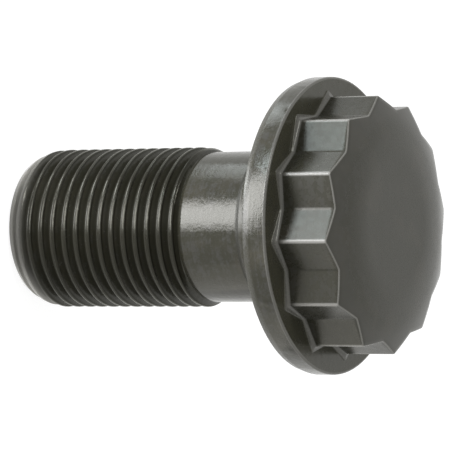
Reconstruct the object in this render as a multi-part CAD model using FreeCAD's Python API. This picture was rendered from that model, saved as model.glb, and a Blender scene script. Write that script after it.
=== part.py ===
"""Flywheel bolt: twelve-point flange head, reduced shank and a fine M12x1 thread.

Millimetres, +Z along the axis towards the head. The origin is the centre of the
flat thread end, on which the bolt stands.
"""
import FreeCAD, Part
import math
import os

# Lengths along the axis, measured from the flat thread end
under_head_length = 23.2
thread_length = 14.4
runout_length = 0.8
end_rounding_length = 2.2

# Round body below the head; the thread is the cylinder over its crests
thread_diameter = 12.0
end_face_diameter = 10.5
shank_diameter = 11.25
collar_diameter = 12.0
collar_length = 2.1
collar_cone_length = 1.15
neck_fillet = 0.5

# Flange, which reaches past the points of the head by the ledge
flange_ledge = 1.42
flange_thickness = 2.0
bearing_bevel_width = 0.22
bearing_bevel_height = 0.6
rim_edge = 0.15

# Twelve-point head
across_flats = 16.6
head_height = 7.0
point_rounding = 0.2
root_rounding = 0.2
foot_fillet = 0.3
flat_face_diameter = 9.0
crown_radius = 15.5

# Angle from one point of the head to the next
point_spacing = 30.0

# Radii of the sharp points, of the roots between them and of the flange's rim
point_radius = across_flats / 2 / math.cos(math.radians(point_spacing))
root_radius = across_flats / 2 / math.cos(math.radians(point_spacing / 2))
rim_radius = point_radius + flange_ledge

# Heights that several pieces of the form share
bearing_face = under_head_length
flange_top = bearing_face + flange_thickness
head_face = bearing_face + head_height
inside_flange = bearing_face + flange_thickness / 2


def at(radius, height):
    """A point of a turned profile, which lies in the plane y = 0."""
    return FreeCAD.Vector(radius, 0, height)


def lines(points):
    return [Part.makeLine(start, end) for start, end in zip(points, points[1:])]


def turned(profile):
    """The solid swept by a closed profile that is turned about the bolt's axis."""
    return Part.Face(Part.Wire(profile)).revolve(FreeCAD.Vector(0, 0, 0), FreeCAD.Vector(0, 0, 1), 360)


def end_rounding():
    """The arc that runs from the flat end into the thread's cylinder without a kink."""
    thread_radius = thread_diameter / 2
    drop = thread_radius - end_face_diameter / 2
    arc_radius = (end_rounding_length ** 2 + drop ** 2) / (2 * drop)
    half_angle = math.asin(end_rounding_length / arc_radius) / 2
    middle = at(thread_radius - arc_radius * (1 - math.cos(half_angle)),
                end_rounding_length - arc_radius * math.sin(half_angle))
    return Part.Arc(at(end_face_diameter / 2, 0), middle, at(thread_radius, end_rounding_length)).toShape()


def neck_arc():
    """The fillet between the collar and the bearing face."""
    collar_radius = collar_diameter / 2
    centre = at(collar_radius + neck_fillet, bearing_face - neck_fillet)
    middle = centre + at(-neck_fillet, neck_fillet) * math.sqrt(0.5)
    return Part.Arc(at(collar_radius, bearing_face - neck_fillet), middle,
                    at(collar_radius + neck_fillet, bearing_face)).toShape()


def make_body():
    """Thread, shank and collar in one turned solid that reaches into the flange."""
    thread_radius, shank_radius, collar_radius = thread_diameter / 2, shank_diameter / 2, collar_diameter / 2
    side = lines([at(thread_radius, end_rounding_length),
                  at(thread_radius, thread_length),
                  at(shank_radius, thread_length + runout_length),
                  at(shank_radius, bearing_face - collar_length - collar_cone_length),
                  at(collar_radius, bearing_face - collar_length),
                  at(collar_radius, bearing_face - neck_fillet)])
    core = lines([at(collar_radius + neck_fillet, bearing_face),
                  at(collar_radius + neck_fillet, inside_flange),
                  at(0, inside_flange),
                  at(0, 0),
                  at(end_face_diameter / 2, 0)])
    return turned([end_rounding()] + side + [neck_arc()] + core)


def make_flange():
    """The round flange, bevelled towards its bearing face and fine-edged on top."""
    return turned(lines([at(0, bearing_face),
                         at(rim_radius - bearing_bevel_width, bearing_face),
                         at(rim_radius, bearing_face + bearing_bevel_height),
                         at(rim_radius, flange_top - rim_edge),
                         at(rim_radius - rim_edge, flange_top),
                         at(0, flange_top),
                         at(0, bearing_face)]))


def hexagon_bar(turn):
    """A hexagon bar of the spanner size from inside the flange to the head's face."""
    corners = []
    for number in range(7):
        angle = math.radians(turn + 60 * number)
        corners.append(FreeCAD.Vector(point_radius * math.cos(angle), point_radius * math.sin(angle),
                                      inside_flange))
    return Part.Face(Part.makePolygon(corners)).extrude(FreeCAD.Vector(0, 0, head_face - inside_flange))


def upright_edges(solid, nearest, farthest):
    """The edges along the axis whose distance from it lies between two radii."""
    found = []
    for edge in solid.Edges:
        first, last = edge.Vertexes[0].Point, edge.Vertexes[-1].Point
        upright = math.hypot(first.x - last.x, first.y - last.y) < 1e-6 and abs(first.z - last.z) > 1e-3
        if upright and nearest < math.hypot(first.x, first.y) < farthest:
            found.append(edge)
    return found


def make_twelve_points():
    """Two hexagon bars 30 degrees apart, with their points and the roots between them rounded."""
    between = (root_radius + point_radius) / 2
    star = hexagon_bar(0).fuse(hexagon_bar(point_spacing)).removeSplitter()
    star = star.makeFillet(point_rounding, upright_edges(star, between, math.inf))
    star = star.makeFillet(root_rounding, upright_edges(star, 0, between))
    return star.common(make_face_form())


def crown_arc():
    """The arc from the flat middle of the head's face down to the rim's radius, without a kink."""
    flat_radius = flat_face_diameter / 2
    full_angle = math.asin((rim_radius - flat_radius) / crown_radius)

    def on_crown(angle):
        return at(flat_radius + crown_radius * math.sin(angle), head_face - crown_radius * (1 - math.cos(angle)))

    return Part.Arc(on_crown(0), on_crown(full_angle / 2), on_crown(full_angle)).toShape()


def make_face_form():
    """The turned form of the head's face: flat in the middle and crowned out over the points."""
    crown = crown_arc()
    crown_foot = crown.Vertexes[-1].Point
    return turned([crown] + lines([crown_foot,
                                   at(rim_radius, bearing_face),
                                   at(0, bearing_face),
                                   at(0, head_face),
                                   at(flat_face_diameter / 2, head_face)]))


def foot_edges(solid):
    """The edges along which the twelve points stand on the flange."""
    found = []
    for edge in solid.Edges:
        level = all(abs(vertex.Z - flange_top) < 1e-6 for vertex in edge.Vertexes)
        inside = all(math.hypot(vertex.X, vertex.Y) < point_radius + 1e-3 for vertex in edge.Vertexes)
        if level and inside:
            found.append(edge)
    return found


def make_bolt():
    bolt = make_flange().fuse(make_twelve_points()).fuse(make_body()).removeSplitter()
    return bolt.makeFillet(foot_fillet, foot_edges(bolt))


bolt = make_bolt()
os.makedirs("parts", exist_ok=True)
bolt.exportStep("parts/flywheel_bolt.step")
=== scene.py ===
import math
import bpy
from mathutils import Matrix, Vector


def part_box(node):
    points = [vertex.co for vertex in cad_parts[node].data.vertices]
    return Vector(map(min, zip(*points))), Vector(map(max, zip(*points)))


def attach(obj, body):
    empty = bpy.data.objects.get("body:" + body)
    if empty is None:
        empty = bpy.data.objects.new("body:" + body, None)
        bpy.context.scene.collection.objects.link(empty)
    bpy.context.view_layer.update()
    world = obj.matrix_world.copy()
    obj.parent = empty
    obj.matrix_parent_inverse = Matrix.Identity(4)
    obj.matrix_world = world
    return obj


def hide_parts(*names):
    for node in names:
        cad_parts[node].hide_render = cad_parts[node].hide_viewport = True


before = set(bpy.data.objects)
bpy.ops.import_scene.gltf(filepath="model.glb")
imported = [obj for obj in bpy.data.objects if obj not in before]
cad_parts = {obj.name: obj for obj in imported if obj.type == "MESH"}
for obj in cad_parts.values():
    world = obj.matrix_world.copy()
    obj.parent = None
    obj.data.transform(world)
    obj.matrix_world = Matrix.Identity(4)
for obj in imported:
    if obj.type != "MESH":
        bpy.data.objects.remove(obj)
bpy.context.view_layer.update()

MM = 0.001
NODE = "flywheel_bolt"
low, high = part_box(NODE)

# Heights on the bolt, from the flat thread end that it stands on
END = low[2]
END_ROUNDING = 2.2 * MM
SEAT = 23.2 * MM
FLANGE_TOP = 25.2 * MM
COLLAR_FOOT = 21.1 * MM
FACE = high[2]

# The runout and the cone, which are steeper here than on the solid, as in the photo
THREAD_TOP = 14.6 * MM
RUNOUT_TOP = 15.2 * MM
RUNOUT_LEAD = 0.05 * MM
CONE_FOOT = 19.85 * MM
CONE_HEIGHT = 0.32 * MM
CONE_LEAD = 0.1 * MM
CONE_FOOT_STEP = 0.02 * MM
CONE_FOOT_RISE = 0.06 * MM
CONE_TOP_STEP = 0.1 * MM
COLLAR_STEP = 0.07 * MM
COLLAR_RISE = 0.08 * MM

# Radii and small sizes of the turned forms
CREST_RADIUS = 6.0 * MM
END_RADIUS = 5.25 * MM
SHANK_RADIUS = 5.625 * MM
NECK_FILLET = 0.5 * MM
NECK_STEPS = 4
RIM_RADIUS = high[0]
RIM_EDGE = 0.15 * MM
RIM_STEPS = 3
RIM_LEAD = 0.1 * MM
BEVEL_WIDTH = 0.22 * MM
BEVEL_HEIGHT = 0.6 * MM
BEVEL_BREAK = 0.08 * MM
BEVEL_SOFTNESS = 0.06 * MM

# Twelve-point head
POINTS = 12
POINT_SPACING = math.tau / POINTS
ACROSS_FLATS = 16.6 * MM
POINT_RADIUS = ACROSS_FLATS / 2 / math.cos(POINT_SPACING)
ROOT_RADIUS = ACROSS_FLATS / 2 / math.cos(POINT_SPACING / 2)
MIDDLE_RADIUS = (POINT_RADIUS + ROOT_RADIUS) / 2
POINT_ROUNDING = 0.2 * MM
POINT_STEPS = 5
ROOT_ROUNDING = 0.5 * MM
ROOT_STEPS = 3
SIDE_CUTS = 8
SIDE_MARGIN = 0.1 * MM

# Foot of the head on the flange
FOOT_FILLET = 0.3 * MM
FOOT_STEPS = 4
FOOT_POINT_SPREAD = 0.46 * MM
FOOT_ROOT_SPREAD = 0.1 * MM
FOOT_STEP = 0.06 * MM
FLAT_STRIP = 0.05 * MM

# Crowned face of the head and the broken edge around it
FLAT_FACE_RADIUS = 4.5 * MM
CROWN_RADIUS = 15.5 * MM
CROWN_RINGS = 12
OUTLINE_BEVEL = 0.08 * MM
OUTLINE_STEPS = 2
CROWN_MARGIN = 0.15 * OUTLINE_BEVEL

# Thread M12x1; it leans as the photo shows it, and a turn of +tau would lean it the other way
TURN = -math.tau
TURN_STEPS = 96
PITCH = 1.0265 * MM
CREST_FLAT = 0.2 * PITCH
CREST_ROUNDING = 0.06 * MM
ROOT_FLAT_RADIUS = 0.1443 * PITCH
ROOT_ARC_STEPS = 3
FLANK = math.radians(30)
THREAD_DEPTH = 0.58 * PITCH
FIRST_CREST = 0.925 * MM

# How the thread gives way to the rounded end and, at its top, to the shank
END_FOLLOW = 0.4
END_FOLLOW_HEIGHT = 0.6 * MM
RUNOUT_FOLLOW = 0.7
FADE_FOOT = 14.1 * MM
FADE_CURVE = 1.5

# Modelling allowances, and the angle up to which neighbouring faces are shaded as one
SAME_PLACE = 0.001 * MM
CUT_THRESHOLD = 0.0001 * MM
SMOOTH_ANGLE = math.radians(35)

# The camera, as fitted to the outline in the photo
AZIMUTH = math.radians(-6.68)
ELEVATION = math.radians(29.43)
ROLL = math.radians(0.541)
DISTANCE = 320.17 * MM
AIM = Vector((-0.06 * MM, 0.007 * MM, 15.859 * MM))
LENS = 340.6
SENSOR = 36
CLIP_START = 0.01

# The floor, the softboxes that lie just above it, and the brightness and tint of the main ones
FLOOR_SIZE = 6
LAMP_HEIGHT = 0.5 * MM
MAIN_RADIANCE = 15
EDGE_RADIANCE = 8.3
MAIN_TINT = (0.94, 0.94, 1)


# Modelling by hand

def select_nothing():
    if bpy.context.mode != "OBJECT":
        bpy.ops.object.mode_set(mode="OBJECT")
    bpy.ops.object.select_all(action="DESELECT")


def edit(piece):
    """Opens a piece in edit mode with nothing in it selected."""
    select_nothing()
    piece.select_set(True)
    bpy.context.view_layer.objects.active = piece
    bpy.ops.object.mode_set(mode="EDIT")
    bpy.ops.mesh.select_all(action="DESELECT")


def pick(piece, kind, wanted):
    """Selects the vertices, edges or faces for which wanted(their vertices' places) is true."""
    bpy.ops.object.mode_set(mode="OBJECT")
    mesh = piece.data
    bpy.context.tool_settings.mesh_select_mode = (kind == "VERT", kind == "EDGE", kind == "FACE")
    places = [vertex.co.copy() for vertex in mesh.vertices]
    for elements in (mesh.vertices, mesh.edges, mesh.polygons):
        elements.foreach_set("select", [False] * len(elements))
    if kind == "VERT":
        for vertex in mesh.vertices:
            vertex.select = wanted([places[vertex.index]])
    else:
        for element in mesh.edges if kind == "EDGE" else mesh.polygons:
            element.select = wanted([places[index] for index in element.vertices])
    bpy.ops.object.mode_set(mode="EDIT")


def from_axis(place):
    return math.hypot(place[0], place[1])


def level_at(height):
    """A test for what lies wholly at a height."""
    return lambda places: all(abs(place[2] - height) < SAME_PLACE for place in places)


def upright(places):
    """Whether an edge runs along the axis and not across it."""
    return abs(places[0][2] - places[1][2]) > PITCH


def apply_modifier(piece, kind, **settings):
    select_nothing()
    piece.select_set(True)
    bpy.context.view_layer.objects.active = piece
    modifier = piece.modifiers.new(kind.lower(), kind)
    for name, value in settings.items():
        setattr(modifier, name, value)
    bpy.ops.object.modifier_apply(modifier=modifier.name)


def cut_level(height, **keep):
    """Cuts a whole piece, open in edit mode, level at a height."""
    bpy.ops.mesh.select_all(action="SELECT")
    bpy.ops.mesh.bisect(plane_co=(0, 0, height), plane_no=(0, 0, 1), threshold=CUT_THRESHOLD, **keep)


def widen(factor):
    """Scales what is selected out from the axis."""
    bpy.ops.transform.resize(value=(factor, factor, 1), center_override=(0, 0, 0))


def extrude_up(rise=0):
    """Extrudes what is selected along the axis."""
    bpy.ops.mesh.extrude_region_move(TRANSFORM_OT_translate={"value": (0, 0, rise)})


def draw_chain(name, places):
    """A chain of edges, extruded from one vertex to the next."""
    select_nothing()
    bpy.ops.mesh.primitive_plane_add(size=PITCH, location=(0, 0, 0))
    chain = bpy.context.object
    chain.name = name
    bpy.ops.object.mode_set(mode="EDIT")
    bpy.ops.mesh.merge(type="CENTER")
    bpy.ops.transform.translate(value=places[0])
    for start, end in zip(places, places[1:]):
        step = Vector(end) - Vector(start)
        bpy.ops.mesh.extrude_region_move(TRANSFORM_OT_translate={"value": step})
    bpy.ops.object.mode_set(mode="OBJECT")
    return chain


# The thread

def arc(centre, radius, start, end, steps):
    """Points along an arc in the plane of (height, depth)."""
    points = []
    for step in range(steps + 1):
        angle = start + (end - start) * step / steps
        points.append((centre[0] + radius * math.cos(angle), centre[1] + radius * math.sin(angle)))
    return points


def thread_profile():
    """One pitch of the thread from crest to crest, as (height, depth below the crests)."""
    root = (PITCH / 2, THREAD_DEPTH - ROOT_FLAT_RADIUS)
    half = [(0, 0), (CREST_FLAT / 2 - CREST_ROUNDING, 0)]
    half += [(CREST_FLAT / 2 + CREST_ROUNDING / 4, CREST_ROUNDING / 2)]
    flank_top = (CREST_FLAT / 2 + CREST_ROUNDING, CREST_ROUNDING / math.tan(FLANK))
    rounding = arc(root, ROOT_FLAT_RADIUS, math.pi - FLANK, math.pi / 2, ROOT_ARC_STEPS)
    flank_foot = rounding[0]
    for part in (0, 1 / 3, 2 / 3):
        half.append(tuple(a + (b - a) * part for a, b in zip(flank_top, flank_foot)))
    half += rounding
    return half + [(PITCH - height, depth) for height, depth in reversed(half[:-1])]


def end_arc_radius(height):
    """The radius of the rounded thread end at a height."""
    drop = CREST_RADIUS - END_RADIUS
    radius = (END_ROUNDING ** 2 + drop ** 2) / (2 * drop)
    return CREST_RADIUS - radius + math.sqrt(radius ** 2 - (END_ROUNDING - height) ** 2)


def keep_thread_in_blank(place):
    """The radius of a point of the thread, cut off at the rounded end and faded out into the shank."""
    radius, height = from_axis(place), place[2]
    if height < END_ROUNDING:
        rounded = end_arc_radius(max(height, END - PITCH))
        follow = END_FOLLOW * min(max(height / END_FOLLOW_HEIGHT, 0), 1)
        radius = min(radius - follow * (CREST_RADIUS - rounded), rounded)
    cone = (height - THREAD_TOP) / (RUNOUT_TOP - THREAD_TOP)
    if cone > 0:
        drop = (CREST_RADIUS - SHANK_RADIUS) * min(cone, 1)
        radius = min(radius - RUNOUT_FOLLOW * drop, CREST_RADIUS - drop)
    fade = (height - FADE_FOOT) / (RUNOUT_TOP - FADE_FOOT)
    if fade > 0:
        groove = CREST_RADIUS - THREAD_DEPTH
        radius = max(radius, groove + (SHANK_RADIUS - groove) * min(fade, 1) ** FADE_CURVE)
    return radius


def wind_thread():
    """A helix of the thread's profile, longer at both ends than the thread."""
    turns = math.ceil((RUNOUT_TOP - END) / PITCH) + 3
    foot = END - 2 * PITCH + FIRST_CREST
    chain = [(CREST_RADIUS - depth, 0, foot + height) for height, depth in thread_profile()]
    thread = draw_chain("bolt", chain)
    apply_modifier(thread, "SCREW", axis="Z", angle=TURN, screw_offset=PITCH, iterations=turns,
                   steps=TURN_STEPS, render_steps=TURN_STEPS, use_smooth_shade=False)
    edit(thread)
    bpy.ops.mesh.select_all(action="SELECT")
    bpy.ops.mesh.remove_doubles(threshold=SAME_PLACE)
    bpy.ops.object.mode_set(mode="OBJECT")
    return thread


def make_thread(top):
    """The helical thread, closed by the flat end and open at its top, where the shank goes on."""
    thread = wind_thread()
    for vertex in thread.data.vertices:
        factor = keep_thread_in_blank(vertex.co) / from_axis(vertex.co)
        vertex.co.x *= factor
        vertex.co.y *= factor
    edit(thread)
    cut_level(END, clear_inner=True)
    cut_level(top, clear_outer=True)
    pick(thread, "EDGE", level_at(END))
    bpy.ops.mesh.edge_face_add()
    return thread


# Shank, collar and flange

def quarter_round(start, end, steps):
    """Radii and heights of a quarter round that leaves its start along the axis."""
    points = []
    for step in range(1, steps + 1):
        angle = math.pi / 2 * step / steps
        points.append((start[0] + (end[0] - start[0]) * (1 - math.cos(angle)),
                       start[1] + (end[1] - start[1]) * math.sin(angle)))
    return points


def cone_outline():
    """The steep cone between the shank and the collar, eased at its foot and its top."""
    return [(SHANK_RADIUS, CONE_FOOT - CONE_LEAD),
            (SHANK_RADIUS + CONE_FOOT_STEP, CONE_FOOT + CONE_FOOT_RISE),
            (CREST_RADIUS - CONE_TOP_STEP, CONE_FOOT + CONE_HEIGHT),
            (CREST_RADIUS - COLLAR_STEP, CONE_FOOT + CONE_HEIGHT + COLLAR_RISE)]


def bevel_outline():
    """The bevel from the bearing face to the flange's rim, eased at both of its edges."""
    return [(RIM_RADIUS - BEVEL_WIDTH - BEVEL_BREAK, SEAT),
            (RIM_RADIUS - BEVEL_WIDTH, SEAT + BEVEL_SOFTNESS),
            (RIM_RADIUS - BEVEL_SOFTNESS, SEAT + BEVEL_HEIGHT - BEVEL_BREAK),
            (RIM_RADIUS, SEAT + BEVEL_HEIGHT + RIM_LEAD)]


def turned_outline():
    """Radii and heights from the top of the runout to the top of the flange."""
    neck_start = (CREST_RADIUS, SEAT - NECK_FILLET)
    neck_end = (CREST_RADIUS + NECK_FILLET, SEAT)
    edge_start = (RIM_RADIUS, FLANGE_TOP - RIM_EDGE)
    edge_end = (RIM_RADIUS - RIM_EDGE, FLANGE_TOP)
    outline = cone_outline() + [(CREST_RADIUS, COLLAR_FOOT), neck_start]
    outline += quarter_round(neck_start, neck_end, NECK_STEPS)
    outline += bevel_outline() + [edge_start]
    outline += quarter_round(edge_start, edge_end, RIM_STEPS)
    return outline + [(RIM_RADIUS - RIM_EDGE - FLAT_STRIP, FLANGE_TOP)]


def raise_body(bolt, height):
    """Extrudes the thread's open top ring by ring, up to the edge of the flange."""
    pick(bolt, "EDGE", level_at(height))
    radius = SHANK_RADIUS
    for next_radius, next_height in turned_outline():
        extrude_up(next_height - height)
        widen(next_radius / radius)
        radius, height = next_radius, next_height
    bpy.ops.object.mode_set(mode="OBJECT")


# The head

def corner_ring(nearest, farthest, height):
    """A test for corners of the twelve-point outline at a height, between two radii."""
    level = level_at(height)
    return lambda places: level(places) and nearest < from_axis(places[0]) < farthest


def make_prism(foot_top):
    """A prism with an upright edge for each point and each root of the head."""
    select_nothing()
    bpy.ops.mesh.primitive_cylinder_add(vertices=2 * POINTS, radius=ROOT_RADIUS, depth=FACE - foot_top,
                                        location=(0, 0, (FACE + foot_top) / 2))
    prism = bpy.context.object
    prism.name = "head"
    bpy.ops.object.transform_apply(location=True)
    return prism


def pull_out_points(head):
    """Draws every second corner of the prism out to the sharp points."""
    def at_point(places):
        turn = math.atan2(places[0][1], places[0][0]) % POINT_SPACING
        return min(turn, POINT_SPACING - turn) < POINT_SPACING / 4

    pick(head, "VERT", at_point)
    widen(POINT_RADIUS / ROOT_RADIUS)


def round_upright_edges(head):
    pick(head, "EDGE", lambda places: upright(places) and from_axis(places[0]) > MIDDLE_RADIUS)
    bpy.ops.mesh.bevel(offset=POINT_ROUNDING * math.tan(POINT_SPACING), segments=POINT_STEPS)
    pick(head, "EDGE", lambda places: upright(places) and from_axis(places[0]) < MIDDLE_RADIUS)
    bpy.ops.mesh.bevel(offset=ROOT_ROUNDING * math.tan(POINT_SPACING / 2), segments=ROOT_STEPS)


def spread_foot(head, foot_top):
    """Takes the shell's open lower edge down and out to the flange, further at the points than the roots."""
    pick(head, "EDGE", level_at(foot_top))
    height = foot_top
    fillet = quarter_round((0, foot_top), (1, FLANGE_TOP + FOOT_STEP), FOOT_STEPS)
    step = [(1, FLANGE_TOP + FOOT_STEP / 3), (1, FLANGE_TOP)]
    corners = ((ROOT_RADIUS, FOOT_ROOT_SPREAD, 0, MIDDLE_RADIUS),
               (POINT_RADIUS, FOOT_POINT_SPREAD, MIDDLE_RADIUS, RIM_RADIUS))
    spread_so_far = 0
    for spread, next_height in fillet + step:
        extrude_up(next_height - height)
        height = next_height
        strip = FLAT_STRIP / 2 if height < FLANGE_TOP + FOOT_STEP / 2 else 0
        for radius, reach, nearest, farthest in corners:
            pick(head, "VERT", corner_ring(nearest, farthest, height))
            widen(1 + (reach * (spread - spread_so_far) + strip) / radius)
        spread_so_far = spread
        pick(head, "EDGE", level_at(height))
    extrude_up()
    widen(1 + FLAT_STRIP / MIDDLE_RADIUS)


def crown_height(radius):
    """The height of the crowned face at a radius."""
    beyond = max(radius - FLAT_FACE_RADIUS, 0)
    return FACE - CROWN_RADIUS + math.sqrt(CROWN_RADIUS ** 2 - beyond ** 2)


def crown_face(head):
    """Insets the flat top ring by ring, lays the rings on the crown and breaks the edge around it."""
    innermost = FLAT_FACE_RADIUS / POINT_RADIUS
    shares = [1 - (1 - innermost) * ring / CROWN_RINGS for ring in range(CROWN_RINGS + 1)]
    pick(head, "FACE", level_at(FACE))
    for before, after in zip(shares, shares[1:]):
        extrude_up()
        widen(after / before)
    bpy.ops.object.mode_set(mode="OBJECT")
    for vertex in head.data.vertices:
        if vertex.co.z > FACE - SAME_PLACE:
            vertex.co.z = crown_height(from_axis(vertex.co))
    edit(head)
    pick(head, "FACE", lambda places: all(abs(place[2] - crown_height(from_axis(place))) < SAME_PLACE
                                          for place in places))
    bpy.ops.mesh.region_to_loop()
    bpy.ops.mesh.bevel(offset=OUTLINE_BEVEL, segments=OUTLINE_STEPS)
    bpy.ops.object.mode_set(mode="OBJECT")


def hold_sides_straight(head, heights):
    """Cuts the upright sides near both ends, so that their shading stays flat between the cuts."""
    edit(head)
    for height in heights:
        cut_level(height)
    bpy.ops.object.mode_set(mode="OBJECT")


def make_head():
    """The twelve points as an open shell, from the foot on the flange up to the face."""
    foot_top = FLANGE_TOP + FOOT_FILLET
    head = make_prism(foot_top)
    edit(head)
    pull_out_points(head)
    round_upright_edges(head)
    pick(head, "FACE", level_at(foot_top))
    bpy.ops.mesh.delete(type="FACE")
    spread_foot(head, foot_top)
    pick(head, "EDGE", lambda places: not upright(places) and math.dist(places[0], places[1]) > PITCH)
    bpy.ops.mesh.subdivide(number_cuts=SIDE_CUTS)
    crown_face(head)
    hold_sides_straight(head, (foot_top + SIDE_MARGIN, crown_height(POINT_RADIUS) - SIDE_MARGIN))
    return head


# The whole bolt

def mark_crown(bolt):
    """Marks the crowned face and the broken edge around it, for the wear on them."""
    wear = bolt.data.attributes.new("edge_wear", "FLOAT", "FACE")
    crown = bolt.data.attributes.new("crown", "FLOAT", "FACE")
    for face in bolt.data.polygons:
        below = max(crown_height(from_axis(place)) - place.z
                    for place in (bolt.data.vertices[index].co for index in face.vertices))
        wear.data[face.index].value = float(CROWN_MARGIN < below < 2 * OUTLINE_BEVEL)
        crown.data[face.index].value = float(below <= CROWN_MARGIN)


def make_bolt():
    """Thread, body and head in one closed mesh; the head's foot is bridged to the edge of the flange."""
    cut_top = RUNOUT_TOP + RUNOUT_LEAD
    bolt = make_thread(cut_top)
    raise_body(bolt, cut_top)
    head = make_head()
    select_nothing()
    head.select_set(True)
    bolt.select_set(True)
    bpy.context.view_layer.objects.active = bolt
    bpy.ops.object.join()
    edit(bolt)
    bpy.context.tool_settings.mesh_select_mode = (False, True, False)
    bpy.ops.mesh.select_non_manifold()
    bpy.ops.mesh.bridge_edge_loops()
    bpy.ops.mesh.select_all(action="SELECT")
    bpy.ops.mesh.normals_make_consistent(inside=False)
    bpy.ops.object.mode_set(mode="OBJECT")
    bpy.ops.object.shade_smooth_by_angle(angle=SMOOTH_ANGLE)
    apply_modifier(bolt, "WEIGHTED_NORMAL", keep_sharp=True)
    mark_crown(bolt)
    return bolt


# Materials

class Value:
    """A number in a material, on which sums are written as in Python."""

    def __init__(self, finish, socket):
        self.finish, self.socket = finish, socket

    def reckon(self, operation, first, second):
        return self.finish.node("ShaderNodeMath", {0: first, 1: second}, operation=operation)

    def __add__(self, other):
        return self.reckon("ADD", self, other)

    def __radd__(self, other):
        return self.reckon("ADD", other, self)

    def __sub__(self, other):
        return self.reckon("SUBTRACT", self, other)

    def __rsub__(self, other):
        return self.reckon("SUBTRACT", other, self)

    def __mul__(self, other):
        return self.reckon("MULTIPLY", self, other)

    def __rmul__(self, other):
        return self.reckon("MULTIPLY", other, self)

    def __pow__(self, other):
        return self.reckon("POWER", self, other)


class Finish:
    """A material that is built up node by node."""

    def __init__(self, name):
        self.material = bpy.data.materials.new(name)
        self.material.use_nodes = True
        self.tree = self.material.node_tree
        self.tree.nodes.clear()

    def node(self, kind, inputs, output=0, **settings):
        """Adds a node, with its settings first and then the values or links of its sockets."""
        made = self.tree.nodes.new(kind)
        for name, value in settings.items():
            setattr(made, name, value)
        for name, value in inputs.items():
            if isinstance(value, Value):
                self.tree.links.new(value.socket, made.inputs[name])
            else:
                made.inputs[name].default_value = value
        return Value(self, made.outputs[output]) if made.outputs else None

    def rise(self, value, start, end):
        """0 at start and 1 at end, smooth between them; start may be the higher one."""
        return self.node("ShaderNodeMapRange", {"Value": value, "From Min": start, "From Max": end},
                         interpolation_type="SMOOTHSTEP")

    def band(self, value, start, full, fade, end):
        """1 between full and fade, and 0 before start and after end."""
        return self.rise(value, start, full) * self.rise(value, end, fade)

    def stored(self, name):
        """A number that is stored on the faces."""
        return self.node("ShaderNodeAttribute", {}, output="Fac", attribute_name=name)

    def mix(self, share, first, second):
        """One colour laid over another by a share."""
        return self.node("ShaderNodeMix", {0: share, 6: first, 7: second}, output=2, data_type="RGBA")

    def cloud(self, place, scale, detail):
        """Soft random patches, between about 0.3 and 0.7."""
        return self.node("ShaderNodeTexNoise", {"Vector": place, "Scale": scale, "Detail": detail})


def warm(level):
    """The warm grey of the coated steel at a level of brightness."""
    return (level * 1.03, level, level * 0.67, 1)


def bare(level):
    """The nearly neutral grey of steel that is worn bright."""
    return (level * 1.02, level, level * 0.93, 1)


class Zones:
    """The places where the bolt's finish changes, or where light and shade are painted on it, as masks from 0
    to 1; lengths in them are in mm.
    """

    def __init__(self, steel, x, y, z):
        radius = (x * x + y * y) ** 0.5
        self.mark_thread(steel, radius, z)
        self.mark_neck(steel, z)
        self.mark_flange(steel, radius, z)
        self.mark_head(steel, radius, z)
        self.paint_end_sheen(steel, radius, x, z)

    def mark_thread(self, steel, radius, z):
        runout_top, rounding_top, crest = RUNOUT_TOP / MM, END_ROUNDING / MM, CREST_RADIUS / MM
        self.thread = steel.rise(z, runout_top + 0.1, runout_top - 0.3)
        above_rounding = steel.rise(z, rounding_top - 0.6, rounding_top)
        # Grooves: painted shade, one set grey tuned to how dark they look.
        self.groove = self.thread * steel.rise(radius, crest - 0.15, crest - 0.4) * above_rounding
        # Crests: painted shade, which dims what they reflect.
        self.crest = self.thread * steel.rise(radius, crest - 0.22, crest - 0.07)

    def mark_neck(self, steel, z):
        cone_foot, seat = CONE_FOOT / MM, SEAT / MM
        self.neck = steel.band(z, cone_foot + 0.25, cone_foot + 0.45, seat + 0.4, seat + 0.7)
        # The cone's band: painted shade, standing in for the dark reflection that the cone shows.
        self.cone = steel.band(z, cone_foot - 0.15, cone_foot, cone_foot + 0.3, cone_foot + 0.4)

    def mark_flange(self, steel, radius, z):
        top, rim = FLANGE_TOP / MM, RIM_RADIUS / MM
        # A band on the flange top, painted lighter as painted light.
        self.flange_top_painted_light = steel.band(z, top - 0.1, top, top + 0.1, top + 0.3)
        self.flange_edge = steel.rise(radius, rim - 0.204, rim - 0.144) * steel.rise(z, top - 0.2, top - 0.14)

    def mark_head(self, steel, radius, z):
        top, point, flat = FLANGE_TOP / MM, POINT_RADIUS / MM, FLAT_FACE_RADIUS / MM
        self.head = steel.rise(z, top - 0.05, top + 0.05)
        # The head's foot: a light line is painted along it, as a painted highlight.
        self.foot = steel.band(z, top + 0.02, top + 0.07, top + 0.26, top + 0.32)
        self.tip = steel.rise(z, top + 0.2, top + 0.8) * steel.rise(radius, point - 0.114, point - 0.044)
        self.outline = steel.stored("edge_wear")
        self.crown_rim = steel.stored("crown") * steel.rise(radius, flat + 2.5, flat + 4.5)

    def paint_end_sheen(self, steel, radius, x, z):
        """A painted sheen on the ring at the thread end, which reaches higher on one side and is lighter on
        the two sides across the view.
        """
        end = END_RADIUS / MM
        one_side = steel.rise(x, 1.0, 4.5)
        self.end = steel.rise(z - 0.2 * one_side, 1.75, 0.5) * steel.rise(radius, end - 0.25, end + 0.05)
        self.end_side_sheen = steel.rise((x + 0.5) * (x + 0.5), 2, 20)


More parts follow.
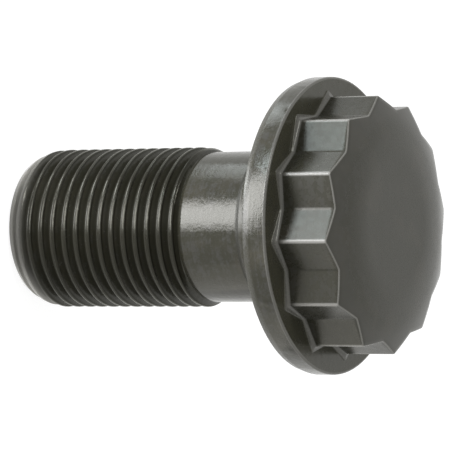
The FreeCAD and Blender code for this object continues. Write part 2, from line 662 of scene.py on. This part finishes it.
def steel_colour(steel, on, stain, rubbed):
    """The coating's warm grey, lighter where it is rubbed or worn; darker on the cone and the crests and a
    set grey in the grooves, as painted shade; lighter on the flange top, the head's foot and the thread end,
    as painted light.
    """
    colour = steel.mix(stain, warm(0.0175), (0.0225, 0.021, 0.0145, 1))
    colour = steel.mix(rubbed * 0.6, colour, bare(0.05))
    # Painted light: the flange top is painted lighter than the rest of the coating.
    colour = steel.mix(on.flange_top_painted_light * 0.6, colour, warm(0.038))
    # Painted shade: one set grey in the thread's grooves, tuned to their shading.
    colour = steel.mix(on.groove * 0.6, colour, warm(0.021))
    # Painted shade: the crests are painted darker, and below they are made more metal-like, to dim what they
    # reflect.
    colour = steel.mix(on.crest * 0.8, colour, warm(0.012))
    # Painted shade: the cone is painted nearly black, standing in for its dark reflection.
    colour = steel.mix(on.cone * 0.8, colour, warm(0.008))
    colour = steel.mix(on.flange_edge * 0.5, colour, bare(0.14))
    colour = steel.mix(on.crown_rim * 0.3, colour, bare(0.05))
    # Painted highlight: a light grey line painted along the head's foot.
    colour = steel.mix(on.foot * 0.6, colour, bare(0.1))
    colour = steel.mix(on.tip * 0.7, colour, bare(0.24))
    colour = steel.mix(on.outline * 0.5, colour, bare(0.2))
    # Painted sheen: the ring at the thread end is painted light grey, and lighter still on the two sides
    # across the view.
    return steel.mix(on.end * (0.38 + 0.5 * on.end_side_sheen), colour, bare(0.43))


def phosphated_steel():
    """Dark grey phosphated steel, fine in grain and worn light on its edges, with a painted sheen around the
    thread end and painted shade and light in other places.
    """
    steel = Finish("phosphated_steel")
    place = steel.node("ShaderNodeTexCoord", {}, output="Object")
    place = steel.node("ShaderNodeVectorMath", {0: place, 1: (1 / MM, 1 / MM, 1 / MM)}, operation="MULTIPLY")
    x, y, z = (steel.node("ShaderNodeSeparateXYZ", {0: place}, output=axis) for axis in "XYZ")
    rings = steel.node("ShaderNodeCombineXYZ", {0: x * 0.15, 1: y * 0.15, 2: z * 5})
    grain = steel.cloud(place, 6, 3)
    mottle = steel.cloud(place, 1.9, 4)
    patches = steel.cloud(place, 0.45, 3)
    turning = steel.cloud(rings, 1, 2)
    on = Zones(steel, x, y, z)

    stain = steel.rise(patches, 0.5, 0.64)
    rubbed = steel.rise(0.4 * mottle + 0.3 * grain + 0.3 * turning, 0.46, 0.62)
    rubbed = rubbed * (1 - 0.4 * on.head - 0.4 * on.thread)
    roughness = (0.19 + 0.09 * on.head + 0.03 * on.thread + 0.12 * on.neck + 0.3 * on.cone
                 + 0.2 * (mottle - 0.5) + 0.2 * (1 - 0.6 * on.head) * (grain - 0.5) - 0.15 * on.crown_rim)
    relief = (grain * 0.009 + mottle * 0.017 + turning * 0.006) * (1 - 0.88 * on.head)
    bump = steel.node("ShaderNodeBump", {"Height": relief, "Distance": MM, "Strength": 1.0})
    # The crests' extra metal share goes with their darker colour, as part of their painted shade.
    shader = steel.node("ShaderNodeBsdfPrincipled", {"Base Color": steel_colour(steel, on, stain, rubbed),
                                                     "Metallic": 0.06 + rubbed * 0.3 + on.crest * 0.45,
                                                     "IOR": 1.4,
                                                     "Specular Tint": (0.98, 0.98, 0.9, 1),
                                                     "Roughness": roughness,
                                                     "Normal": bump})
    steel.node("ShaderNodeOutputMaterial", {"Surface": shader})
    return steel.material


# Floor and light

def seen(finish):
    """1 for what the camera sees, straight or in a reflection or through glass."""
    path = {name: finish.node("ShaderNodeLightPath", {}, output=name)
            for name in ("Is Camera Ray", "Is Glossy Ray", "Is Transmission Ray")}
    total = path["Is Camera Ray"] + path["Is Glossy Ray"] + path["Is Transmission Ray"]
    return finish.node("ShaderNodeMath", {0: total, 1: 1.0}, operation="MINIMUM")


def white_paper():
    """White to the camera, with the bolt's shadow on it, and a plain pale sheet to all other light."""
    paper = Finish("white_paper")
    glow = paper.node("ShaderNodeEmission", {"Color": (1, 1, 1, 1), "Strength": 0.82})
    faint = paper.node("ShaderNodeBsdfDiffuse", {"Color": (0.28, 0.28, 0.28, 1)})
    both = paper.node("ShaderNodeAddShader", {0: glow, 1: faint})
    sheet = paper.node("ShaderNodeBsdfDiffuse", {"Color": (0.8, 0.8, 0.8, 1)})
    shader = paper.node("ShaderNodeMixShader", {0: seen(paper), 1: sheet, 2: both})
    paper.node("ShaderNodeOutputMaterial", {"Surface": shader})
    return paper.material


def lay_floor():
    select_nothing()
    bpy.ops.mesh.primitive_plane_add(size=FLOOR_SIZE, location=(0, 0, 0))
    floor = bpy.context.object
    floor.name = "floor"
    floor.data.materials.append(white_paper())


def light_world():
    world = bpy.data.worlds.new("studio")
    bpy.context.scene.world = world
    world.use_nodes = True
    background = world.node_tree.nodes["Background"]
    background.inputs["Color"].default_value = (1, 1, 1, 1)
    background.inputs["Strength"].default_value = 1.0


def from_camera_side(across, away, height):
    """A place given across the camera's view, away from the camera and above the floor, in mm."""
    x = across * math.cos(AZIMUTH) - away * math.sin(AZIMUTH)
    y = across * math.sin(AZIMUTH) + away * math.cos(AZIMUTH)
    return Vector((x, y, height)) * MM


def facing(place, aim):
    """The turn that points a lamp from its place at what it is aimed at."""
    return (aim - place).to_track_quat("-Z", "Y").to_euler()


def soft_light(name, place, turn, size, power, tint=(1, 1, 1)):
    """A rectangular softbox, unseen by the camera."""
    lamp = bpy.data.lights.new(name, "AREA")
    lamp.shape = "RECTANGLE"
    lamp.size, lamp.size_y = size
    lamp.energy = power
    lamp.color = tint
    box = bpy.data.objects.new(name, lamp)
    bpy.context.scene.collection.objects.link(box)
    box.location = place
    box.rotation_euler = turn
    box.visible_camera = False


def floor_light(name, across, away, radiance, tint=(1, 1, 1)):
    """A softbox that lies on the floor and shines up, between two bounds each way in mm."""
    middle = ((across[0] + across[1]) / 2, (away[0] + away[1]) / 2)
    size = ((across[1] - across[0]) * MM, (away[1] - away[0]) * MM)
    power = radiance * math.pi * size[0] * size[1]
    place = from_camera_side(*middle, LAMP_HEIGHT / MM)
    soft_light(name, place, (math.pi, 0, AZIMUTH), size, power, tint)


def main_light(near, far, left, right, share=1):
    """A strip of the main light, and a dimmer and wider one in the same place for soft edges."""
    away = (-far, -near)
    floor_light("main_light", (-left, -right), away, MAIN_RADIANCE * share, MAIN_TINT)
    floor_light("soft_edge", (-1.2 * left, near / 9 - right), away, EDGE_RADIANCE * share, MAIN_TINT)


def light_bolt():
    """Strips of main light that widen away from the bolt, and the lamps for its other glints."""
    main_light(near=9, far=14, left=6, right=0.8, share=0.7)
    main_light(near=14, far=22, left=10, right=1.1, share=0.8)
    main_light(near=22, far=30, left=15.5, right=1.7)
    main_light(near=30, far=40, left=21, right=2.3)
    main_light(near=40, far=50, left=28, right=3.1)
    main_light(near=50, far=62, left=35, right=9)
    floor_light("thread_light", across=(-12, -6.5), away=(-10, -4.5), radiance=10, tint=(0.94, 0.97, 1))
    floor_light("near_left_light", across=(-58, -31), away=(-62, -37), radiance=12.6, tint=(0.8, 0.92, 1))
    floor_light("left_light", across=(-66, -31), away=(-10, 8), radiance=3.5, tint=(0.88, 0.95, 1))
    floor_light("right_light", across=(28, 56), away=(-24, 10), radiance=0.7, tint=(1, 0.97, 0.9))
    floor_light("far_right_light", across=(13, 26), away=(-62, -46), radiance=1.5, tint=(1, 0.96, 0.88))
    floor_light("outer_right_light", across=(54, 76), away=(-32, -4), radiance=2, tint=(1, 0.97, 0.92))
    floor_light("back_right_light", across=(36, 56), away=(16, 42), radiance=0.2)
    place = from_camera_side(-82, -51, 142)
    soft_light("high_left_light", place, facing(place, from_camera_side(0, 0, 27)),
               size=(40 * MM, 40 * MM), power=0.07)


# Camera

def place_camera():
    """Looks down on the bolt, rolled so that its head points to the right of the picture."""
    back = Vector((math.sin(AZIMUTH) * math.cos(ELEVATION), -math.cos(AZIMUTH) * math.cos(ELEVATION),
                   math.sin(ELEVATION)))
    across = Vector((math.cos(AZIMUTH), math.sin(AZIMUTH), 0))
    up = back.cross(across)
    right = math.cos(ROLL) * up + math.sin(ROLL) * across
    top = math.sin(ROLL) * up - math.cos(ROLL) * across
    lens = bpy.data.cameras.new("camera")
    lens.lens = LENS
    lens.sensor_width = SENSOR
    lens.clip_start = CLIP_START
    camera = bpy.data.objects.new("camera", lens)
    bpy.context.scene.collection.objects.link(camera)
    turn = Matrix((right, top, back)).transposed()
    camera.matrix_world = Matrix.Translation(AIM + back * DISTANCE) @ turn.to_4x4()
    bpy.context.scene.camera = camera


# The scene

bolt = make_bolt()
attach(bolt, "root")
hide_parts(NODE)
bolt.data.materials.clear()
bolt.data.materials.append(phosphated_steel())

lay_floor()
light_world()
light_bolt()
place_camera()
bpy.context.scene.view_settings.view_transform = "Standard"
